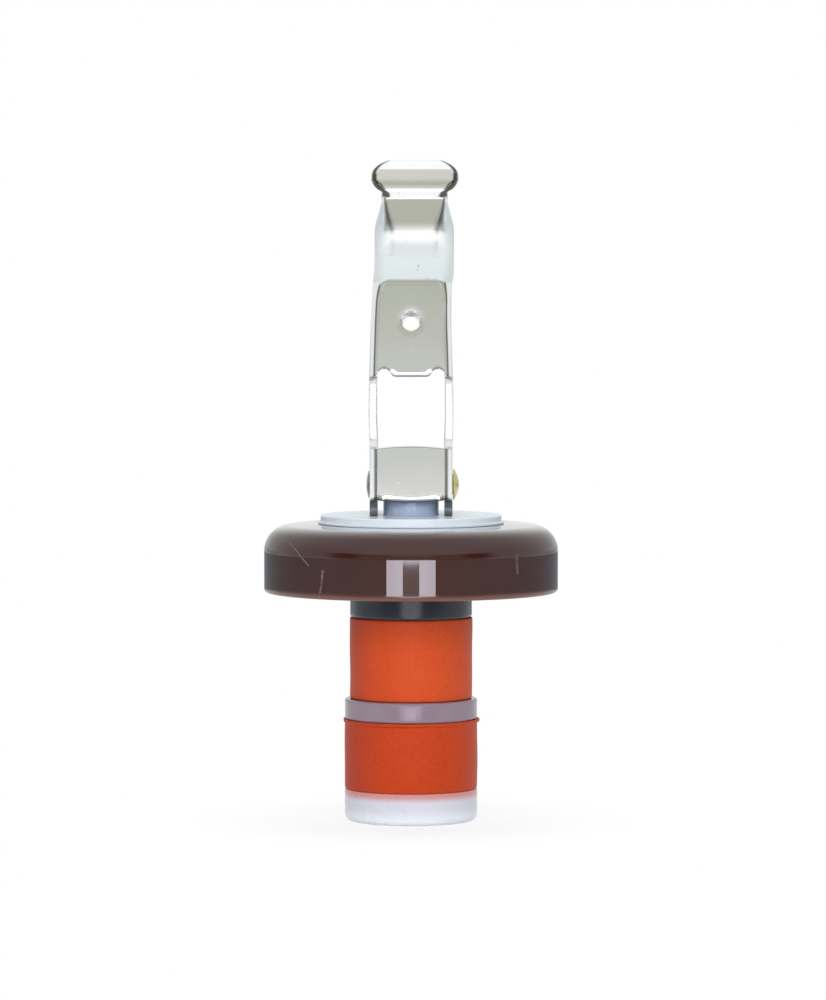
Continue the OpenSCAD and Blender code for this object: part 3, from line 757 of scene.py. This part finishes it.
def snapped(u, s, room):
    """Moves the grid's points onto the cut lines: on each grid edge that crosses a line, the nearer end moves
    along the edge by the share room / (room - room of the other end). A point with several crossings takes
    the shortest move."""
    best = np.full(u.shape, np.inf)
    du, ds = np.zeros(u.shape), np.zeros(u.shape)
    for axis in (0, 1):
        for shift in (1, -1):
            other = np.roll(room, shift, axis)
            place = np.arange(u.shape[axis]).reshape((-1, 1) if axis == 0 else (1, -1))
            at_end = place == (0 if shift == 1 else u.shape[axis] - 1)
            cross = (room * other < 0) & ~at_end
            t = np.where(cross, room / np.where(cross, room - other, 1), 1)
            mu, ms = t * (np.roll(u, shift, axis) - u), t * (np.roll(s, shift, axis) - s)
            size = np.where(t <= 0.5, np.hypot(mu, ms), np.inf)
            nearer = size < best
            best = np.where(nearer, size, best)
            du, ds = np.where(nearer, mu, du), np.where(nearer, ms, ds)
    return u + du, s + ds, np.where(np.isfinite(best), 0.0, room)


def pad_edge(u, s):
    """Share of painted dark reflection on the front of the pad's folds: 1 in a margin along the edge, whose
    width goes by the length s, up to 50 degrees round the fold and none from 75 degrees on."""
    margin = keyed(s, [(CREASE_S + 0.35, 1.15), (FRONT_S + 0.7, 1.3), (FRONT_S + 1.5, 0.7),
                       (TOP_S - 0.6, 0.66), (TOP_S + 0.3, 0.7), (TIP_S, 0.4)])
    past = np.abs(u) - half_width(s)
    dark = np.clip((margin + past) / 0.3 + 0.5, 0, 1) * keyed(s, [(CREASE_S, 0), (CREASE_S + 0.35, 1)])
    return dark * keyed(np.degrees(past / corner_radius(s) + 1), [(50, 1), (75, 0)])


def neck_line(u, s):
    """Share of painted shade in a soft line along the start of the neck's folds, wider where the fold is
    wider, and in
    a faint one along the first bend: exp(-(distance / width)^2)."""
    c = corner_radius(s)
    off = (np.abs(u) - half_width(s) + 0.87 * c) / (0.05 + 0.12 * c)
    neck = np.exp(-off ** 2) * keyed(s, [(NECK_S - 1.2, 0), (NECK_S, 0.75), (CREASE_S - 0.3, 0.6),
                                         (CREASE_S + 0.2, 0)])
    bend = 0.38 * np.exp(-((s - BEND_S - 0.24) / 0.2) ** 2) * (np.abs(u) < half_width(s) - 0.7 * c)
    return np.maximum(neck, bend)


def haze_share(u, s):
    """Share of dull haze: over the slope, and further up on the folds beside the neck."""
    slope = keyed(s, [(BEND_S, 0), (BEND_S + 0.5, 1), (SLOPE_S + 1.8, 1), (HOLLOW_S + 0.3, 0)])
    neck = keyed(s, [(SLOPE_S, 0), (HOLLOW_S, 1), (CREASE_S - 1.2, 1), (CREASE_S - 0.2, 0)])
    turned = (np.abs(u) - half_width(s)) / corner_radius(s) + 1
    return np.maximum(slope, neck * np.clip(2 * turned - 0.4, 0, 1))


def cut_line(u, s):
    """Share of painted shade in a line along the cuts of the front face, which fades out at 1.4 times its
    width. It is wider round the notches and at the ends of the foot, and fainter round the hole."""
    upper = s > CAM_LOW + WINDOW_MIDDLE
    width = 0.12 + 0.2 * upper * np.exp(-((np.abs(u) - NOTCH_X) / 0.9) ** 2)
    window = 0.72 * np.clip(1.4 - window_room(u, s) / width, 0, 1)
    width = 0.28 + 0.4 * np.exp(-((np.abs(u) - cut_sides(s)[0]) / 0.6) ** 2)
    foot = 0.95 * np.clip(1.4 - foot_room(u, s) / width, 0, 1)
    hole = 0.4 * np.clip(1.4 - (np.hypot(u, s - CAM_LOW - HOLE_LEVEL) - HOLE_R) / 0.16, 0, 1)
    return np.maximum.reduce([window, foot, hole])


def blank_grid():
    """Grid of flat places (u across, s along) on the lever's blank, closer together in the bends and beside
    the cuts, with its points moved onto the cut lines, and their distance from the nearest cut."""
    near = np.array([0, 0.05, 0.11, 0.18, 0.26])
    counts = 14, 12, 12, 12, 10, 14, 14, 26
    runs = [np.linspace(a, b, count) for a, b, count in zip(ENDS, ENDS[1:], counts)]
    s = np.unique(np.concatenate([
        CAM_S, np.linspace(CAM_END_S, BEND_S, 110), *runs,
        CAM_LOW + WEB_BOTTOM + near, CAM_LOW + WINDOW_BOTTOM - near, CAM_LOW + WINDOW_TOP + near,
        CAM_LOW + HOLE_LEVEL + np.linspace(-1.5, 1.5, 31),
        CAM_LOW + WINDOW_TOP + np.linspace(0.3, NOTCH_H + 0.3, 14)]).round(6))[:, None]
    w, c, d = half_width(s), corner_radius(s), flange_depth(s)
    web = (w - c) * np.concatenate([np.linspace(0, 0.36, 15), np.linspace(0.36, 0.6, 5)[1:],
                                    np.linspace(0.6, 1, 18)[1:]])
    fold = w - c + c * np.linspace(0, np.pi / 2, 13)[1:]
    flange = w - c + c * np.pi / 2 + (d - c) * np.linspace(0, 1, 18)[1:] ** 1.5
    half = np.concatenate([web, fold, flange], 1)
    u = np.concatenate([-half[:, :0:-1], half], 1)
    s = s + 0 * u
    room = cut_room(u, s)
    return snapped(u, s, np.where(np.abs(room) < 1e-6, 0.0, room))


def sheet_triangles(u, s, room):
    """Triangles of the grid that lie in the sheet. Each quad is split between the two opposite corners that
    are nearer to a cut. A triangle stays if no corner is in a cut and, where all three are on cut lines, its
    middle is in the sheet."""
    quads = grid_faces(*u.shape, False, False)[:, [0, 3, 2, 1]]
    r = np.abs(room.ravel()[quads])
    split = (r[:, 0] + r[:, 2] > r[:, 1] + r[:, 3])[:, None]
    tris = np.concatenate([np.where(split, quads[:, [0, 1, 3]], quads[:, [0, 1, 2]]),
                           np.where(split, quads[:, [1, 2, 3]], quads[:, [0, 2, 3]])])
    r = room.ravel()[tris]
    middle = cut_room(u.ravel()[tris].mean(1), s.ravel()[tris].mean(1))
    return tris[(r.min(1) >= 0) & ((r.max(1) > 0) | (middle > 0))]


def open_edges(points, tris):
    """Edges with a triangle on one side only, and the unit way into the sheet at each of their points: the
    sum of normal x edge over the edges that meet there."""
    edges = np.concatenate([tris[:, [0, 1]], tris[:, [1, 2]], tris[:, [2, 0]]])
    owner = np.tile(np.arange(len(tris)), 3)
    key = np.sort(edges, 1) @ np.array([len(points), 1])
    _, back, count = np.unique(key, return_inverse=True, return_counts=True)
    lone = count[back.ravel()] == 1
    edges, owner = edges[lone], owner[lone]
    p = points[tris[owner]]
    normal = np.cross(p[:, 1] - p[:, 0], p[:, 2] - p[:, 0])
    inward = np.cross(normal, points[edges[:, 1]] - points[edges[:, 0]])
    inward /= np.linalg.norm(inward, axis=1)[:, None]
    ways = np.zeros_like(points)
    np.add.at(ways, edges.ravel(), np.repeat(inward, 2, 0))
    return edges, ways / np.maximum(np.linalg.norm(ways, axis=1), 1e-9)[:, None]


def lever_shell():
    """Both faces of the folded sheet as triangles with the cuts left out, closed by a rim that rounds every
    edge by EDGE_R. Gives the shell and its marks: "cut_edge" on the rim, "painted_dark" for the lines of
    painted shade and painted dark reflection on the outer face, and "haze" everywhere."""
    u, s, room = blank_grid()
    outer = folded(u, s, rolled(u, s)).reshape(-1, 3)
    inner = folded(u, s, SHEET_T).reshape(-1, 3)
    tris = sheet_triangles(u, s, room)
    area = np.cross(outer[tris[:, 1]] - outer[tris[:, 0]], outer[tris[:, 2]] - outer[tris[:, 0]])
    tris = tris[np.linalg.norm(area, axis=1) > 1e-7]

    # Rim rows from the outer face to the inner one, each a quarter round at its ends
    edges, ways = open_edges(outer, tris)
    rim = np.unique(edges)
    angle = np.radians([0, 30, 60, 90])
    sunk, drawn = EDGE_R * (1 - np.cos(angle)), EDGE_R * (1 - np.sin(angle))
    depth = np.concatenate([sunk, SHEET_T - sunk[::-1]])
    pull = np.concatenate([drawn, drawn[::-1]])
    across_rim = (outer[rim] + (inner[rim] - outer[rim]) * (depth / SHEET_T)[:, None, None]
                  + ways[rim] * pull[:, None, None])
    outer[rim], inner[rim] = across_rim[0], across_rim[-1]

    # Strips of quads between the rim rows
    size, k = len(outer), len(rim)
    place = np.zeros(size, int)
    place[rim] = np.arange(k)
    a, b = place[edges].T
    rows = [rim] + [2 * size + k * i + np.arange(k) for i in range(len(depth) - 2)] + [rim + size]
    strip = np.concatenate([np.stack([near[b], near[a], far[a], far[b]], -1)
                            for near, far in zip(rows, rows[1:])])

    # Points that no face uses are left out
    points = np.concatenate([outer, inner, across_rim[1:-1].reshape(-1, 3)])
    used = np.unique(np.concatenate([tris.ravel(), tris.ravel() + size, strip.ravel()]))
    new = np.zeros(len(points), int)
    new[used] = np.arange(len(used))
    faces = new[tris].tolist() + new[tris[:, ::-1] + size].tolist() + new[strip].tolist()
    dark, haze = np.zeros(len(points)), np.zeros(len(points))
    # Painted shade and painted dark reflection: the lines of pad_edge, cut_line and neck_line.
    dark[:size] = np.maximum.reduce([pad_edge(u, s), cut_line(u, s), neck_line(u, s)]).ravel()
    haze[:size] = haze[size:2 * size] = haze_share(u, s).ravel()
    haze[2 * size:] = np.tile(haze[rim], len(depth) - 2)
    marks = {"cut_edge": (used >= 2 * size).astype(float), "painted_dark": dark[used], "haze": haze[used]}
    return (points[used], faces), marks


# The pieces

lever, lever_marks = lever_shell()
make_piece("lever_stamping", lever, "lever", "lever", "lever_chrome", lever_marks)
make_piece("disc", joined(disc_shell(), *disc_ribs()), "cap", "cap_disc", "brown_plastic")
make_piece("collar", collar_shell(), "cap", "neck_collar", "slate_plastic")
upper_sleeve = make_piece("upper_sleeve", sleeve_shell(UPPER_LOW[2], UPPER_HIGH[2], UPPER_HIGH[0], seed=0.7),
                          "cap", "upper_rubber", "orange_rubber")
make_piece("ring", ring_shell(), "ring", "spacer_ring", "lavender_plastic")
lower_sleeve = make_piece("lower_sleeve", sleeve_shell(LOWER_LOW[2], LOWER_HIGH[2], LOWER_HIGH[0] - 0.2,
                                                       seed=2.1, lip=0.32),
                          "ring", "lower_rubber", "orange_rubber")
make_piece("base", base_shell(), "stem", "base_plug", "white_plastic")
make_piece("draw_stem", joined(stem_shell(), boss_shell(1), boss_shell(-1)), "stem", "stem", "grey_plastic")
make_piece("washer", washer_shell(), "washer", "bearing_washer", "pale_plastic")
make_piece("rivet", rivet_shell(), "stem", "pivot_rivet", "rivet_brass")
screw = frame["nodes"]["end_screw"]
screw.data.materials.clear()
screw.data.materials.append(MATERIALS["screw_steel"])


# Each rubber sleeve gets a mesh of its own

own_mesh(upper_sleeve)
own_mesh(lower_sleeve)


# Studio: floor, surroundings, lamps and camera

def seen_directly(t):
    """1 for rays that show the surroundings themselves: from the camera or through clear material."""
    camera, clear = (t.node("ShaderNodeLightPath", {}, {}, out=key)
                     for key in ("Is Camera Ray", "Is Transmission Ray"))
    return camera.most(clear)


def make_floor():
    """A white sheet under the part. Seen directly or in a reflection it mostly glows, so that only a faint
    shadow stays round the foot."""
    left, right, front, rear = -0.28, 0.28, -0.12, 0.30
    mesh = bpy.data.meshes.new("floor")
    mesh.from_pydata([(left, front, 0), (right, front, 0), (right, rear, 0), (left, rear, 0)],
                     [], [(0, 1, 2, 3)])
    floor = bpy.data.objects.new("floor", mesh)
    bpy.context.scene.collection.objects.link(floor)
    material = bpy.data.materials.new("floor_white")
    t = fresh_tree(material)
    glossy = t.node("ShaderNodeLightPath", {}, {}, out="Is Glossy Ray")
    matte = t.node("ShaderNodeBsdfDiffuse", {}, {"Color": rgb(0.85, 0.85, 0.85)})
    glow = t.node("ShaderNodeEmission", {}, {"Color": rgb(1, 1, 1), "Strength": 1.0})
    away = t.node("ShaderNodeVectorMath", {"operation": "LENGTH"}, {0: t.place()}, out="Value")
    share = away.step(0.010, 0.034, 0.80, 1.0) * seen_directly(t).most(glossy)
    shader = t.node("ShaderNodeMixShader", {}, {0: share, 1: matte, 2: glow})
    t.node("ShaderNodeOutputMaterial", {}, {"Surface": shader})
    mesh.materials.append(material)


def make_surroundings():
    """White where it is seen directly, and a plain grey for soft light. Reflections show a room: a beige wall
    behind the camera, palest at its foot and a little warmer above, a dark flag on each side of it, dusk
    further round, a dim line behind the part and a grey table that runs round below the horizon.
    az is the angle from -Y to either side and el the angle over the horizon, in degrees."""
    world = bpy.data.worlds.new("studio")
    bpy.context.scene.world = world
    t = fresh_tree(world)
    ray = t.node("ShaderNodeTexCoord", {}, {}, out="Generated")
    x, y, z = (t.node("ShaderNodeSeparateXYZ", {}, {0: ray}, out=k) for k in range(3))
    degree = 180 / math.pi
    az = t.math("ABSOLUTE", t.math("ARCTAN2", x, -1.0 * y)) * degree
    el = t.math("ARCSINE", z) * degree
    middle, beside = az.fall(14, 20), az.step(14, 20)

    beige = beside.most(el.step(-3.4, -2.8)).mix(rgb(0.95, 0.92, 0.95), rgb(0.50, 0.51, 0.475))
    beige = el.step(-2.6, -1.6).mix(beige, rgb(0.565, 0.572, 0.54))
    beige = el.step(-1.5, -0.4).mix(beige, rgb(0.467, 0.479, 0.403))
    beige = (middle * el.step(0.6, 5)).mix(beige, rgb(0.68, 0.66, 0.605))
    wall = el.step(-11.5, 0.0).most(beside * el.step(-13, -10)) * el.fall(11, 19) * az.fall(54, 66)
    colour = wall.mix(rgb(1.05, 1.06, 1.06), beige)

    low_flag = az.step(10, 16) * az.fall(34, 62) * el.step(-60, -50) * el.fall(-2.1, -1.7)
    high_flag = az.step(36, 50) * az.fall(58, 74) * el.step(-2.1, -1.7) * el.fall(11, 19)
    flag = (low_flag + high_flag) * el.step(-4, 0, 0.7, 0.85)
    colour = flag.mix(colour, rgb(0.05, 0.045, 0.04))

    dusk = az.step(30, 60) * el.step(-3.0, -2.4) * el.fall(8, 50)
    colour = (0.28 * dusk).mix(colour, rgb(0.26, 0.29, 0.31))
    behind = az.step(124, 134) * el.step(-4, -3) * el.fall(-0.2, 0.2)
    colour = (0.32 * behind).mix(colour, rgb(0.10, 0.11, 0.13))
    table = az.step(18, 24) * el.step(-6, -5) * el.fall(-3.4, -3.1)
    colour = (0.95 * table).mix(colour, rgb(0.25, 0.28, 0.33))

    glossy = t.node("ShaderNodeLightPath", {}, {}, out="Is Glossy Ray")
    colour = glossy.mix(rgb(0.34, 0.35, 0.36), colour)
    colour = seen_directly(t).mix(colour, rgb(1, 1, 1))
    shader = t.node("ShaderNodeBackground", {}, {"Color": colour, "Strength": 1.0})
    t.node("ShaderNodeOutputWorld", {}, {"Surface": shader})


def add_aimed(name, data, place, target):
    """A lamp or a camera in the scene, turned towards its target."""
    holder = bpy.data.objects.new(name, data)
    holder.location = place
    holder.rotation_euler = (Vector(target) - Vector(place)).to_track_quat("-Z", "Y").to_euler()
    bpy.context.scene.collection.objects.link(holder)
    return holder


def make_lamp(name, place, width, height, watts, colour=(1, 1, 1)):
    """A rectangular lamp that faces the underside of the disc."""
    lamp = bpy.data.lights.new(name, "AREA")
    lamp.shape = "RECTANGLE"
    lamp.size, lamp.size_y, lamp.energy, lamp.color = width, height, watts, colour
    return add_aimed(name, lamp, place, (0, 0, DISC_LOW[2] * MM))


def make_lamps():
    """Two softboxes in front and one behind, which reflections don't show, and low lavender-white cards in
    front, which the disc, the collar and the ring show."""
    card_y, card_colour = -0.90, (0.93, 0.87, 1.0)
    for side, name in ((-1, "left"), (1, "right")):
        make_lamp(name + "_card", (side * 0.200, card_y, -0.0355), 0.202, 0.04, 0.215, card_colour)
        softbox = make_lamp(name + "_softbox", (side * 0.28, -0.85, 0.36), 0.45, 0.45, 3.8)
        softbox.visible_glossy = False
    make_lamp("card_bridge", (0, card_y, -0.0178), 0.20, 0.0036, 0.020, card_colour)
    make_lamp("low_card", (0, card_y, -0.108), 0.24, 0.095, 0.4, card_colour)
    make_lamp("back_softbox", (0, 0.58, 0.69), 1.3, 0.68, 6.0).visible_glossy = False


def make_camera():
    """The camera in front of the part, a little above its middle."""
    camera = bpy.data.cameras.new("camera")
    camera.sensor_fit, camera.sensor_height, camera.lens = "VERTICAL", 36.0, 184.0
    camera.clip_start, camera.clip_end = 0.01, 20.0
    bpy.context.scene.camera = add_aimed("camera", camera, (0.0, -0.70, 0.0795), (0.00027, 0.0, 0.0440))


make_floor()
make_surroundings()
make_lamps()
make_camera()
bpy.context.scene.view_settings.view_transform = "Standard"
